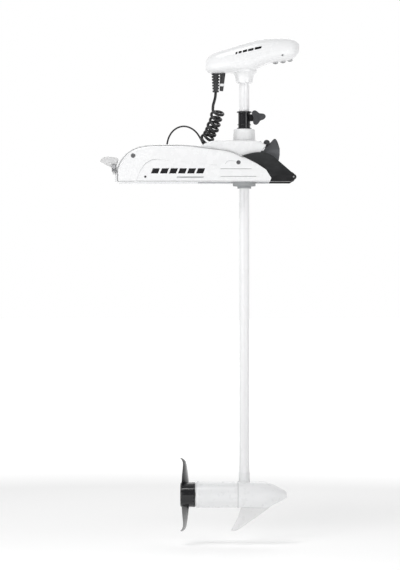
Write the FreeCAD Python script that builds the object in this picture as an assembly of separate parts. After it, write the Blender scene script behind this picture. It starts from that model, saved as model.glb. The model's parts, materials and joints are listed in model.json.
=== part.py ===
import FreeCAD, Part
import math
import os
from FreeCAD import Vector

# Bow-mount trolling motor, in millimetres, +Z up, bow towards +X, port side towards +Y.
# Shapes are drawn about the steering axis (x = 0, y = 0) with the mount's underside at z = 0.
# On export they move by SHAFT_X, so the origin is the centre of the deck bolt pattern.

# ---- driving dimensions ----
SHAFT_X = 310.0            # from the deck bolt pattern's centre to the steering axis
SHAFT_R = 17.5             # outer radius of the shaft tube
SHAFT_WALL = 3.0
SHAFT_TOP = 392.0          # inside the head's boss
KEY_WIDTH = 3.0            # groove along the shaft that the drive sleeve's key runs in
KEY_DEPTH = 1.3
RUN_GAP = 0.05             # radial clearance of a running fit
SLIDE_GAP = 0.3            # clearance between sliding flats

RAIL_IN = 50.0             # the two rails stand at this half width
RAIL_OUT = 56.0
RAIL_TOP = 52.0
FLOOR_THICK = 8.0
FLOOR_FRONT = -160.0       # the deck plate ends here, so the housing can swing
MOUNT_REAR = -430.0
RAIL_FRONT = 84.0
COVER_IN = 57.0
COVER_OUT = 94.0
COVER_WALL = 3.0
COVER_ROUND = 14.0
FAIRING_OUT = 74.0
FAIRING_BOTTOM = 62.0

DECK_BOLT_X = (-410.0, -310.0, -210.0)
DECK_BOLT_Y = 32.5
DECK_BOLT_R = 3.5

PIVOT_X = -21.5            # tilt trunnions
PIVOT_Z = 66.0
TRUNNION_R = 8.0
PLATE_IN = 44.0            # carriage side plates
PLATE_OUT = 49.7
TIE_Z0 = 34.0              # crossbar of the carriage, under the sweep of the tilting housing
TIE_Z1 = 41.0
HOUSING_HALF = 43.4        # half width of the steering housing
HOUSING_WALL = 3.5
HOUSING_REAR = -45.0
HOUSING_FRONT = 62.0
HOUSING_SPLIT = 112.0
TOWER_TOP = 186.0
SLEEVE_R = 21.5

GEAR_MODULE = 1.25
GEAR_TEETH = 48
PINION_TEETH = 12
GEAR_Z = 88.0
GEAR_THICK = 14.0
PINION_X = GEAR_MODULE * (GEAR_TEETH + PINION_TEETH) / 2

COLLAR_Z0 = TOWER_TOP + 0.3
COLLAR_Z1 = 247.0
KNOB_X = 46.0
KNOB_Z = 225.0
KNOB_TIP_R = 27.5          # reach of the knob's three lobes
KNOB_VALLEY_R = 15.0       # and of the valleys between them
KNOB_WAIST = 1.15          # above 1 narrows the lobes
KNOB_TURN = 8              # degrees one lobe stands above the bow direction

MOTOR_Z = -1081.6
MOTOR_R = 46.0
MOTOR_WALL = 2.6
CAN_R = 45.3               # the centre housing is a little slimmer than its two ends
MOTOR_REAR = -169.0
SEAM_REAR = -157.0
SEAM_FRONT = -22.0
NOSE_START = 64.0
NOSE_TIP = 148.0
PROP_R = 128.0
PROP_REAR = -222.0
PROP_FRONT = -170.0

CORD_D = 10.0              # curly cord's wire
COIL_D = 47.0              # curly cord's outer diameter where it is coiled
LOOP_D = 6.0               # thin cable of the loop


# ---- helpers ----
def box(x0, x1, y0, y1, z0, z1):
    return Part.makeBox(x1 - x0, y1 - y0, z1 - z0, Vector(x0, y0, z0))


def rod_z(x, y, r, z0, z1):
    return Part.makeCylinder(r, z1 - z0, Vector(x, y, z0))


def rod_y(x, z, r, y0, y1):
    return Part.makeCylinder(r, y1 - y0, Vector(x, y0, z), Vector(0, 1, 0))


def rod_x(y, z, r, x0, x1):
    return Part.makeCylinder(r, x1 - x0, Vector(x0, y, z), Vector(1, 0, 0))


def ring_z(r_out, r_in, z0, z1):
    return rod_z(0, 0, r_out, z0, z1).cut(rod_z(0, 0, r_in, z0 - 1, z1 + 1))


def ring_x(r_out, r_in, x0, x1):
    return rod_x(0, MOTOR_Z, r_out, x0, x1).cut(rod_x(0, MOTOR_Z, r_in, x0 - 1, x1 + 1))


def side_wire(steps, y=0.0):
    """Closed wire in a plane of constant y. A step is a point (x, z), or a list of points
    that one smooth curve passes through, starting at the point before it."""
    start = Vector(steps[0][0], y, steps[0][1])
    edges = []
    here = start
    for step in list(steps[1:]) + [steps[0]]:
        if isinstance(step, list):
            points = [here] + [Vector(x, y, z) for x, z in step]
            curve = Part.BSplineCurve()
            curve.interpolate(points)
            edges.append(curve.toShape())
            here = points[-1]
        else:
            there = Vector(step[0], y, step[1])
            edges.append(Part.makeLine(here, there))
            here = there
    return Part.Wire(edges)


def slab(steps, y0, y1):
    """A side outline made solid between two widths."""
    return Part.Face(side_wire(steps, y0)).extrude(Vector(0, y1 - y0, 0))


def mirrored(shape):
    return shape.mirror(Vector(0, 0, 0), Vector(0, 1, 0))


def joined(shapes):
    return shapes[0].multiFuse(shapes[1:]).removeSplitter()


def edges_where(shape, test):
    return [edge for edge in shape.Edges if test(edge.CenterOfMass)]


def turned_about_shaft(steps):
    """Solid of revolution about the steering axis; a step is (radius, z)."""
    return Part.Face(side_wire(steps)).revolve(Vector(0, 0, 0), Vector(0, 0, 1), 360)


def screw(x, z, y_face, r, side):
    """Pan head with a hex socket, its face towards side (-1 starboard, +1 port)."""
    head = rod_y(x, z, r, 0, 3.0)
    rim = edges_where(head, lambda c: c.y > 2.9)
    head = head.makeFillet(1.2, rim)
    head = head.cut(rod_y(x, z, r * 0.42, 1.4, 4.0))
    shank = rod_y(x, z, r * 0.45, -9.0, 0)
    piece = head.fuse(shank)
    if side < 0:
        piece = mirrored(piece)
    piece.translate(Vector(0, y_face, 0))
    return piece


def export(name, shape):
    piece = shape.copy()
    piece.translate(Vector(SHAFT_X, 0, 0))
    if not piece.isValid():
        print("NOT VALID", name)
    print(f"{name:26s} solids {len(piece.Solids)}  volume {piece.Volume / 1000:9.2f} cm3")
    piece.exportStep(f"parts/{name}.step")


# ---- the fixed mount ----
COVER_TOP = [
    (-437, 52), (-425, 77), (-395, 107), (-349, 124), (-269, 128), (-190, 127), (-119, 118),
    (-42, 105), (-10, 89)]
COVER_INNER_TOP = [
    (-434, 51), (-422, 75), (-393, 104), (-349, 120.5), (-269, 124.5), (-190, 123.5), (-119, 114.5),
    (-42, 101.5), (-13, 87)]
COVER_OUTLINE = [(-440, 0), (-440, 35), COVER_TOP, (110, 50), (110, 0)]
COVER_CAVITY = [(-437, 3), (-437, 35), COVER_INNER_TOP, (39, 59), (70, 39), (86, 13), (81, 3)]
COVER_FRONT_CUT = [(-10, 89), (41, 62), (73, 41), (91, 12), (85.5, -1), (140, -1), (140, 130), (-10, 130)]
COVER_PANEL = [(-372, 3), [(-358, 38), (-338, 64), (-303, 77)], (-93, 57), (-93, 3)]
RAMP_OUTLINE = [
    (-9.5, 89.3), [(20, 98), (57, 101), (79, 97), (103, 84)], (128, 62), (160, 34),
    [(171, 26), (175, 17), (170, 7)], (160, 1), (87, 1), (91.5, 12), (73.4, 41.3), (41.2, 62.4)]
HORN_OUTLINE = [
    (58, 102), (98, 146), [(104, 149), (114, 137), (121, 116)], (121, 94), (118, 76), (104, 62.5),
    (60, 62.5)]
FAIRING_NOSE = [(50, 140.6), (62, 135.1), (76.5, 129.4)]
FAIRING_OUTLINE = [
    (-150, FAIRING_BOTTOM), (-150, 124), [(-130, 136), (-107, 142)], (-60, 143), (34, 143),
    [(50, 140), (62, 134.5), (76, 129)], (54, 102), (50, FAIRING_BOTTOM)]
FAIRING_CAVITY = [
    (-147, FAIRING_BOTTOM - 1), (-147, 122), [(-128, 132.5), (-106, 138.7)], (-60, 139.7), (33, 139.7),
    [(49, 136.7), (60, 131.5), (70, 126.5)], (51, 103), (47, FAIRING_BOTTOM - 1)]
ROLLER_X = 168.0
ROLLER_Z = 17.0
ROLLER_R = 10.0
ROLLER_Y0 = 69.5
ROLLER_Y1 = 80.5
SCREW_SPOTS = ((-383.0, 89.0, 7.3), (-21.5, 66.0, 6.6))
PLUG_SPOT = (-341.0, 17.0, 4.0)
PEDAL_X = -449.0
PEDAL_Z = 51.0
PEDAL_PIN_R = 4.0
LATCH_Y = -66.0
LATCH_Z = 30.0


def deck_plate():
    """Floor of the mount, with its six deck bolt holes."""
    plate = box(MOUNT_REAR, FLOOR_FRONT, -RAIL_IN, RAIL_IN, 0, FLOOR_THICK)
    for x in DECK_BOLT_X:
        for side in (-1, 1):
            plate = plate.cut(rod_z(x, side * DECK_BOLT_Y, DECK_BOLT_R, -1, FLOOR_THICK + 1))
    return plate


def port_rail():
    """One rail with four long lightening slots."""
    rail = box(MOUNT_REAR, RAIL_FRONT, RAIL_IN, RAIL_OUT, 0, RAIL_TOP)
    for x in (-380, -300, -220, -140):
        slot = box(x - 18, x + 18, RAIL_IN - 1, RAIL_OUT + 1, 20, 32)
        slot = slot.makeFillet(5.9, edges_where(slot, lambda c: abs(c.y - (RAIL_IN + RAIL_OUT) / 2) < 0.1))
        rail = rail.cut(slot)
    return rail


def rails():
    """Both rails; the starboard one has two guides for the latch rod."""
    port = port_rail()
    starboard = mirrored(port)
    for x in (-350, -120):
        guide = box(x, x + 10, LATCH_Y - 9, -RAIL_OUT, LATCH_Z - 9, LATCH_Z + 9)
        starboard = starboard.fuse(guide.cut(rod_x(LATCH_Y, LATCH_Z, 3.0 + RUN_GAP, x - 1, x + 11)))
    return Part.makeCompound([port, starboard.removeSplitter()])


def starboard_side_cover():
    """Thin moulded shell, open towards the rail, with its crease, grooves and screw seats."""
    shell = slab(COVER_OUTLINE, -COVER_OUT, -COVER_IN)
    rim = edges_where(shell, lambda c: c.y < -COVER_OUT + 0.1 and c.z > 3)
    shell = shell.makeFillet(COVER_ROUND, rim)
    shell = shell.cut(slab(COVER_FRONT_CUT, -COVER_OUT - 1, -COVER_IN + 1))
    shell = shell.cut(slab(COVER_CAVITY, -COVER_OUT + COVER_WALL, -COVER_IN + 1))
    shell = shell.cut(box(-150.4, 100, -FAIRING_OUT - 0.4, 0, FAIRING_BOTTOM - 0.4, 200))
    shell = shell.cut(slab(COVER_PANEL, -COVER_OUT - 1, -COVER_OUT + 1.2))
    for z, x0, x1 in ((44, -84, 24), (18, -84, 40)):
        shell = shell.cut(box(x0, x1, -COVER_OUT - 1, -COVER_OUT + 1.4, z - 1.2, z + 1.2))
    for x, z, r in SCREW_SPOTS:
        shell = shell.cut(rod_y(x, z, r + 0.6, -COVER_OUT - 1, -COVER_OUT + 1.5))
        shell = shell.cut(rod_y(x, z, r * 0.45 + 0.2, -COVER_OUT - 1, -COVER_OUT + 6))
    x, z, r = PLUG_SPOT
    shell = shell.cut(rod_y(x, z, r, -COVER_OUT - 1, -COVER_OUT + 6))
    return shell


def starboard_fairing():
    """Hollow shoulder beside the steering housing."""
    shell = slab(FAIRING_OUTLINE, -FAIRING_OUT, -RAIL_IN)
    rim = edges_where(shell, lambda c: c.y < -FAIRING_OUT + 0.1 and c.z > 110 and c.x < 60)
    shell = shell.makeFillet(7.0, rim)
    return shell.cut(slab(FAIRING_CAVITY, -FAIRING_OUT + 3, -RAIL_IN - 3))


def starboard_ramp():
    """Bow ramp, forked at its tip for the roller."""
    ramp = slab(RAMP_OUTLINE, -90, -60.3)
    rim = edges_where(ramp, lambda c: c.y < -89.9 and c.z > 12 and c.x > 0)
    ramp = ramp.makeFillet(2.0, rim)
    ramp = ramp.cut(box(-20, 56, -FAIRING_OUT - 0.4, -60, 50, 110))
    ramp = ramp.cut(box(ROLLER_X - 12.5, 190, -ROLLER_Y1 - 0.5, -ROLLER_Y0 + 0.5, -5, 60))
    return ramp.cut(rod_y(ROLLER_X, ROLLER_Z, 3.0, -100, -50))


def starboard_horn():
    horn = slab(HORN_OUTLINE, -60, -51)
    rim = edges_where(horn, lambda c: c.z > 100 and c.x > 100 and abs(c.y + 55.5) > 4)
    return horn.makeFillet(2.0, rim)


def starboard_roller():
    roller = rod_y(ROLLER_X, ROLLER_Z, ROLLER_R, -ROLLER_Y1, -ROLLER_Y0)
    roller = roller.makeFillet(1.5, edges_where(roller, lambda c: abs(c.y + 75) > 5))
    return roller.cut(rod_y(ROLLER_X, ROLLER_Z, 3.0 + RUN_GAP, -100, -50))


def roller_pins():
    pin = rod_y(ROLLER_X, ROLLER_Z, 3.0, -88.5, -61.5)
    return Part.makeCompound([pin, mirrored(pin)])


def rear_end_cap():
    """Hollow cap across the rails, with the two lugs that carry the pedal's pin."""
    cap = box(-446, MOUNT_REAR, -COVER_IN, COVER_IN, 0, 36)
    cap = cap.makeFillet(4.0, edges_where(cap, lambda c: c.x < -445.9 and c.z < 20))
    cap = cap.cut(box(-443, MOUNT_REAR + 1, -53, 53, 4, 32))
    foot = box(-456, -440.5, -92, -26, 34, 40)
    foot = foot.cut(box(-460, -438, LATCH_Y - 6, LATCH_Y + 6, 30, 44))
    foot = foot.fuse(box(-456, -453.5, -92, -26, 34, 40))
    lugs = []
    for y0, y1 in ((-33, -26), (-92, -86)):
        lug = box(-456, -442, y0, y1, 39, 60)
        corners = edges_where(lug, lambda c: c.z > 59.9 and abs(c.y - (y0 + y1) / 2) < 0.1)
        lugs.append(lug.makeFillet(5.0, corners))
    cap = joined([cap, foot] + lugs)
    return cap.cut(rod_y(PEDAL_X, PEDAL_Z, PEDAL_PIN_R, -100, 0))


def pedal_pin():
    pin = rod_y(PEDAL_X, PEDAL_Z, PEDAL_PIN_R, -92, -26)
    head = rod_y(PEDAL_X, PEDAL_Z, PEDAL_PIN_R + 2.5, -94.5, -92)
    return pin.fuse(head)


def release_pedal():
    """Ribbed foot pad on a hub, with a crank that pushes the latch rod."""
    pad = slab([(-497, 70), [(-489, 81), (-472, 86)], (-438, 83), (-435, 78), (-443, 52), (-456, 47)],
               -84.5, -34.5)
    rim = edges_where(pad, lambda c: c.z > 60 and c.x < -440 and abs(c.y + 59.5) > 24)
    pad = pad.makeFillet(3.0, rim)
    for x in (-484, -476, -468, -460):
        pad = pad.cut(box(x - 1.2, x + 1.2, -78, -41, 80, 90))
    hub = rod_y(PEDAL_X, PEDAL_Z, 8.0, -84.5, -34.5)
    crank = box(PEDAL_X - 4, PEDAL_X + 4, LATCH_Y - 4, LATCH_Y + 4, 26, PEDAL_Z)
    pedal = joined([pad, hub, crank])
    return pedal.cut(rod_y(PEDAL_X, PEDAL_Z, PEDAL_PIN_R + RUN_GAP, -100, 0))


def latch_rod():
    rod = rod_x(LATCH_Y, LATCH_Z, 3.0, PEDAL_X + 4.6, -90)
    collar = rod_x(LATCH_Y, LATCH_Z, 6.5, -386, -380)
    tip = box(-94, -78, LATCH_Y - 3, LATCH_Y + 3, LATCH_Z - 4, LATCH_Z + 10)
    return joined([rod, collar, tip])


def latch_return_spring():
    helix = Part.makeHelix(4.8, 28.0, 5.4)
    section = Part.Wire(Part.makeCircle(0.8, Vector(5.4, 0, 0), Vector(0, 1, 0)))
    spring = Part.Wire(helix).makePipeShell([section], True, True)
    spring.rotate(Vector(0, 0, 0), Vector(0, 1, 0), 90)
    spring.translate(Vector(-379.0, LATCH_Y, LATCH_Z))
    return spring


def cover_screws():
    pieces = []
    for x, z, r in SCREW_SPOTS:
        pieces.append(screw(x, z, -COVER_OUT + 1.5, r, -1))
        pieces.append(screw(x, z, COVER_OUT - 1.5, r, 1))
    return Part.makeCompound(pieces)


def shoulder_bumpers():
    dome = Part.makeSphere(11.0, Vector(76, -66, 134))
    dome = dome.common(box(60, 100, -90, -60, 124, 160))
    dome = dome.cut(slab([(-150, 0), (-150, 150), (34, 150), FAIRING_NOSE, (54.5, 102), (50, 0)], -90, -50))
    return Part.makeCompound([dome, mirrored(dome)])


# ---- the carriage and the steering housing that tilts on it ----
HOUSING_OUTLINE = [
    (HOUSING_REAR, 0), (HOUSING_REAR, HOUSING_SPLIT), (HOUSING_FRONT, HOUSING_SPLIT),
    (HOUSING_FRONT, 40), (46, 0)]
STEER_MOTOR_R = 14.4
STEER_MOTOR_Z0 = 34.0
STEER_MOTOR_Z1 = 78.0
TAIL_EXIT = (HOUSING_REAR - 6.0, 6.0, 92.0)      # curly cord's gland on the housing
LOOP_EXIT = (-105.0, 46.7, 66.0)                 # thin cable's clip on the carriage
LOOP_FOOT = (-269.0, 64.0, 134.0)                # thin cable's grommet on the port cover


def cable_clip():
    """Tab behind the port side plate that the thin cable is clipped to."""
    x, _, z = LOOP_EXIT
    clip = box(x - 6, -70.0, PLATE_IN, PLATE_OUT, z - 12, z)
    return clip.makeFillet(2.0, edges_where(clip, lambda c: c.x < x - 5.9 and abs(c.z - z + 6) > 5))


def carriage():
    """Two side plates with flanges that ride on the rails, tied together behind the housing."""
    plates = []
    for side in (-1, 1):
        inner, outer = sorted((side * PLATE_IN, side * PLATE_OUT))
        plate = box(-76, 14, inner, outer, 34, 88)
        corners = edges_where(plate, lambda c: abs(abs(c.y) - (PLATE_IN + PLATE_OUT) / 2) < 0.1)
        plate = plate.makeFillet(8.0, corners)
        flange_in, flange_out = sorted((side * (PLATE_OUT - 1), side * (RAIL_OUT - 1)))
        flange = box(-72, 10, flange_in, flange_out, RAIL_TOP + SLIDE_GAP, RAIL_TOP + 8)
        plates.append(plate.fuse(flange))
    tie = box(-74, -64, -PLATE_IN - 1, PLATE_IN + 1, TIE_Z0, TIE_Z1)
    frame = joined(plates + [tie, cable_clip()])
    return frame.cut(rod_y(PIVOT_X, PIVOT_Z, TRUNNION_R + RUN_GAP, -60, 60))


def trunnions():
    """Two shouldered pins pressed into the housing's bosses."""
    pin = rod_y(PIVOT_X, PIVOT_Z, TRUNNION_R, 36, PLATE_OUT - 0.4)
    return Part.makeCompound([pin, mirrored(pin)])


def steering_housing():
    """Open-topped tub with bosses for the trunnions and a hole for the drive sleeve."""
    shell = slab(HOUSING_OUTLINE, -HOUSING_HALF, HOUSING_HALF)
    shell = shell.makeFillet(6.0, edges_where(shell, lambda c: abs(c.y) < 0.1 and 5 < c.z < 100))
    wall = HOUSING_WALL
    cavity = box(HOUSING_REAR + wall, HOUSING_FRONT - wall, -HOUSING_HALF + wall, HOUSING_HALF - wall,
                 12, 200)
    cavity = cavity.cut(slab([(36, 0), (HOUSING_FRONT, 46), (HOUSING_FRONT, 0)], -50, 50))
    shell = shell.cut(cavity)
    for y0, y1 in ((-HOUSING_HALF + 1, -34), (34, HOUSING_HALF - 1)):
        shell = shell.fuse(rod_y(PIVOT_X, PIVOT_Z, 13.0, y0, y1))
    shell = shell.cut(rod_y(PIVOT_X, PIVOT_Z, TRUNNION_R, 36, 60))
    shell = shell.cut(rod_y(PIVOT_X, PIVOT_Z, TRUNNION_R, -60, -36))
    shell = shell.cut(rod_z(0, 0, SLEEVE_R + 0.3, -5, 20))
    return shell.removeSplitter()


def housing_cover():
    """Lid and tapered tower in one moulding."""
    lid = box(HOUSING_REAR, HOUSING_FRONT, -HOUSING_HALF, HOUSING_HALF, HOUSING_SPLIT, 141)
    lid = lid.makeFillet(12.0, edges_where(lid, lambda c: abs(c.z - 126.5) < 1))
    lid = lid.makeFillet(5.0, edges_where(lid, lambda c: c.z > 140.9))
    tower = turned_about_shaft([
        (0, 136), (43, 136), (43, 140.8), [(40.5, 143), (38.6, 149)], (36.8, TOWER_TOP - 5),
        [(35.6, TOWER_TOP - 1.6), (32.5, TOWER_TOP)], (0, TOWER_TOP)])
    cover = lid.fuse(tower)
    wall = HOUSING_WALL
    hollow = box(HOUSING_REAR + wall, HOUSING_FRONT - wall, -HOUSING_HALF + wall, HOUSING_HALF - wall,
                 HOUSING_SPLIT - 1, 136)
    hollow = hollow.makeFillet(9.0, edges_where(hollow, lambda c: abs(c.z - (HOUSING_SPLIT + 135) / 2) < 1))
    cover = cover.cut(hollow)
    cover = cover.cut(rod_z(0, 0, 28.0, 130, 158))
    return cover.cut(rod_z(0, 0, SLEEVE_R + 5.5, 150, 200))


def upper_bushing():
    return ring_z(SLEEVE_R + 5.5, SLEEVE_R + RUN_GAP, 158.5, TOWER_TOP - 5.0)


def lower_bearing():
    flange = rod_z(0, 0, 39.5, -12, 0)
    flange = flange.makeFillet(2.0, edges_where(flange, lambda c: c.z < -11.9))
    nose = rod_z(0, 0, 24.0, -20, -11)
    bearing = joined([flange, nose])
    return bearing.cut(rod_z(0, 0, SLEEVE_R + RUN_GAP, -25, 15))


def steering_motor():
    can = rod_z(PINION_X, 0, STEER_MOTOR_R, STEER_MOTOR_Z0, STEER_MOTOR_Z1)
    can = can.makeFillet(2.0, edges_where(can, lambda c: True))
    return can.cut(rod_z(PINION_X, 0, 2.5 + RUN_GAP, STEER_MOTOR_Z1 - 14, STEER_MOTOR_Z1 + 1))


def gear_wire(teeth, phase, z):
    """Straight-flanked teeth with generous backlash; phase is where one tooth is centred."""
    pitch_r = GEAR_MODULE * teeth / 2
    tip_r = pitch_r + 0.75 * GEAR_MODULE
    root_r = pitch_r - 1.15 * GEAR_MODULE
    step = 2 * math.pi / teeth
    points = []
    for tooth in range(teeth):
        middle = phase + tooth * step
        for radius, share in ((root_r, -0.30), (tip_r, -0.11), (tip_r, 0.11), (root_r, 0.30)):
            angle = middle + share * step
            points.append(Vector(radius * math.cos(angle), radius * math.sin(angle), z))
    return Part.makePolygon(points + [points[0]])


def gear(teeth, phase, x, bore_r):
    blank = Part.Face(gear_wire(teeth, phase, GEAR_Z)).extrude(Vector(0, 0, GEAR_THICK))
    blank = blank.cut(rod_z(0, 0, bore_r, GEAR_Z - 1, GEAR_Z + GEAR_THICK + 1))
    blank.translate(Vector(x, 0, 0))
    return blank


def output_gear():
    return gear(GEAR_TEETH, 0.0, 0.0, SLEEVE_R)


def steering_pinion():
    toothed = gear(PINION_TEETH, math.pi / PINION_TEETH, PINION_X, 2.5)
    return toothed.fuse(rod_z(PINION_X, 0, 2.5, STEER_MOTOR_Z1 - 12, GEAR_Z + GEAR_THICK))


def key_bar(depth, width, z0, z1):
    """Bar on the starboard side of the shaft, reaching depth into its surface."""
    return box(-width / 2, width / 2, -SHAFT_R - 1.5, -SHAFT_R + depth, z0, z1)


def drive_sleeve():
    """Keyed sleeve that the shaft slides in, carrying the output gear."""
    sleeve = ring_z(SLEEVE_R, SHAFT_R + RUN_GAP, -9.5, TOWER_TOP)
    flange = ring_z(SLEEVE_R + 5.0, SHAFT_R + RUN_GAP, TOWER_TOP - 4.5, TOWER_TOP)
    key = key_bar(KEY_DEPTH - 0.2, KEY_WIDTH - 0.2, 4, TOWER_TOP - 6)
    return joined([sleeve, flange, key])


def cord_gland():
    x, y, z = TAIL_EXIT
    collar = rod_x(y, z, 10.0, x + 3, HOUSING_REAR)
    return collar.fuse(rod_x(y, z, 8.0, x, x + 3))


def loop_grommet():
    x, y, z = LOOP_FOOT
    flange = rod_z(x, y, 8.5, z - 5.6, z - 3)
    boot = Part.makeCone(6.5, 4.5, 3.5, Vector(x, y, z - 3.5))
    return joined([flange, boot, rod_z(x, y, 4.8, z - 10, z - 5)])


# ---- the shaft, the collar and its knob ----
def shaft_tube():
    tube = ring_z(SHAFT_R, SHAFT_R - SHAFT_WALL, MOTOR_Z + 36, SHAFT_TOP)
    groove = key_bar(KEY_DEPTH, KEY_WIDTH, -990, 330)
    return tube.cut(groove).cut(rod_x(0, MOTOR_Z, MOTOR_R, -60, 60))


def shaft_wiring():
    wires = [rod_z(x, y, 3.2, MOTOR_Z + 52, 398) for x, y in ((-6, 0), (6, 0), (0, 7))]
    return Part.makeCompound(wires)


def shaft_socket():
    socket = ring_z(SHAFT_R + 1.5, SHAFT_R, MOTOR_Z + 30, -1004)
    skirt = Part.makeCone(22.0, SHAFT_R + 1.5, 12, Vector(0, 0, -1042))
    skirt = skirt.cut(rod_z(0, 0, SHAFT_R, -1050, -1000))
    return socket.fuse(skirt).cut(rod_x(0, MOTOR_Z, MOTOR_R, -60, 60)).removeSplitter()


def depth_collar():
    """Split collar with three rims and two clamp ears."""
    body = rod_z(0, 0, 21.0, COLLAR_Z0, COLLAR_Z1)
    for z0, z1, r in ((COLLAR_Z0, COLLAR_Z0 + 4, 25.0), (COLLAR_Z0 + 13, COLLAR_Z0 + 16, 24.0),
                      (COLLAR_Z1 - 5, COLLAR_Z1, 26.0)):
        rim = rod_z(0, 0, r, z0, z1)
        body = body.fuse(rim.makeFillet(0.9, edges_where(rim, lambda c: True)))
    ears = box(16, KNOB_X + 10, -12.5, 12.5, KNOB_Z - 12, KNOB_Z + 12)
    ears = ears.makeFillet(9.0, edges_where(ears, lambda c: c.x > KNOB_X + 9 and abs(c.y) < 0.1))
    body = body.fuse(ears).removeSplitter()
    body = body.cut(rod_z(0, 0, SHAFT_R + RUN_GAP, COLLAR_Z0 - 1, COLLAR_Z1 + 1))
    body = body.cut(box(10, KNOB_X + 20, -1.5, 1.5, COLLAR_Z0 - 1, COLLAR_Z1 + 1))
    return body.cut(rod_y(KNOB_X, KNOB_Z, 4.0 + RUN_GAP, -20, 20))


def collar_knob():
    """Three rounded lobes round a hub, moulded on the clamp's stud with its nut."""
    outline = []
    for index in range(24):
        swing = math.cos(math.radians(3 * (15 * index)))
        reach = KNOB_VALLEY_R + (KNOB_TIP_R - KNOB_VALLEY_R) * (0.5 + 0.5 * swing) ** KNOB_WAIST
        angle = math.radians(KNOB_TURN + 15 * index)
        outline.append(Vector(KNOB_X + reach * math.cos(angle), -40, KNOB_Z + reach * math.sin(angle)))
    curve = Part.BSplineCurve()
    curve.interpolate(Points=outline, PeriodicFlag=True)
    head = Part.Face(Part.Wire([curve.toShape()])).extrude(Vector(0, 14, 0))
    head = head.makeFillet(2.0, edges_where(head, lambda c: abs(c.y + 33) > 6.9))
    hub = rod_y(KNOB_X, KNOB_Z, 12.0, -38, -14.5)
    stud = rod_y(KNOB_X, KNOB_Z, 4.0, -32, 22)
    nut = rod_y(KNOB_X, KNOB_Z, 8.0, 12.8, 19)
    return joined([hub, head, stud, nut])


# ---- the control head ----
# station along x, underside z, top z, half width
HEAD_STATIONS = (
    (-134, 396, 414, 14), (-129, 384, 430, 30), (-112, 379, 444, 42), (-70, 379.5, 461, 52),
    (-10, 380.5, 481, 57), (15, 382, 488, 57), (38, 390, 493.5, 56), (60, 402.5, 497.5, 54),
    (85, 413, 500, 51), (130, 420.5, 500.5, 44), (165, 428, 497, 34), (183, 442, 488, 23),
    (190, 457, 478, 12))
HEAD_WALL = 3.5
HEAD_SQUARENESS = 2.9
SEAM_LINE = ((-150, 404), (210, 452))
BUTTON_SPOTS = ((108, 419.0), (134, 422.5), (158, 427.5))
BUTTON_R = 9.0
RELIEF_X = -99.0
RELIEF_BOTTOM = 314.0
CONNECTOR_X = -74.5
CONNECTOR_LEAN = 4.5
LENS_SPOT = (131.0, 438.5)
LENS_R = 2.6


def head_section(x, low, high, half):
    """Rounded cross-section of the head at one station."""
    middle = (low + high) / 2
    tall = (high - low) / 2
    power = 2 / HEAD_SQUARENESS
    points = []
    for index in range(20):
        angle = 2 * math.pi * index / 20
        c = math.cos(angle)
        s = math.sin(angle)
        y = math.copysign(abs(c) ** power, c) * half
        z = math.copysign(abs(s) ** power, s) * tall
        points.append(Vector(x, y, middle + z))
    curve = Part.BSplineCurve()
    curve.interpolate(points, PeriodicFlag=True)
    return Part.Wire(curve.toShape())


def head_form(inset):
    stations = []
    for x, low, high, half in HEAD_STATIONS:
        if inset and (x < -130 or x > 185):
            continue
        shift = inset if x < -120 else (-inset if x > 180 else 0)
        stations.append(head_section(x + shift, low + inset, high - inset, half - inset))
    return Part.makeLoft(stations, True, False)


def head_split(upper):
    (x0, z0), (x1, z1) = SEAM_LINE
    far_z = 600 if upper else 300
    return slab([(x0, z0), (x1, z1), (x1, far_z), (x0, far_z)], -80, 80)


def head_shell():
    return head_form(0).cut(head_form(HEAD_WALL))


def head_upper_shell():
    x, z = LENS_SPOT
    return head_shell().common(head_split(True)).cut(rod_y(x, z, LENS_R, -60, -30))


def head_lower_shell():
    shell = head_shell().common(head_split(False))
    shell = shell.cut(rod_z(0, 0, SHAFT_R, 370, 400))
    shell = shell.cut(rod_z(RELIEF_X, 0, 9.0, 370, 400))
    shell = shell.cut(rod_z(CONNECTOR_X, 0, 6.0, 370, 400))
    for x, z in BUTTON_SPOTS:
        shell = shell.cut(rod_z(x, 0, BUTTON_R + 0.3, z - 15, z + 14))
    x, z = LENS_SPOT
    return shell.cut(rod_y(x, z, LENS_R, -60, -30))


def head_boss():
    """Flared neck between the head and the shaft."""
    boss = turned_about_shaft([
        (0, 345), (25.5, 345), [(28, 346.4), (29, 350)], (31, 364), [(35, 374), (43, 383)], (43, 392),
        (0, 392)])
    return boss.cut(head_form(0)).cut(rod_z(0, 0, SHAFT_R, 340, 400))


def control_board():
    board = box(-90, 16, -30, 30, 404, 405.6)
    chips = [box(-70, -48, -12, 12, 405.6, 408.5), box(-34, -14, -24, -6, 405.6, 410),
             box(-10, 10, 4, 26, 405.6, 409)]
    return joined([board] + chips)


def status_lens():
    x, z = LENS_SPOT
    return rod_y(x, z, LENS_R, -60, -36).common(head_form(0)).cut(head_form(HEAD_WALL + 1.0))


def head_button(x, z):
    """Domed button through the underside, with a stop flange inside."""
    stem = rod_z(x, 0, BUTTON_R, z - 4, z + 9)
    dome = Part.makeSphere(13.5, Vector(x, 0, z + 5.5)).common(rod_z(x, 0, BUTTON_R, z - 10, z - 3.9))
    flange = rod_z(x, 0, BUTTON_R + 2, z + 9, z + 11)
    return joined([stem, dome, flange])


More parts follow.
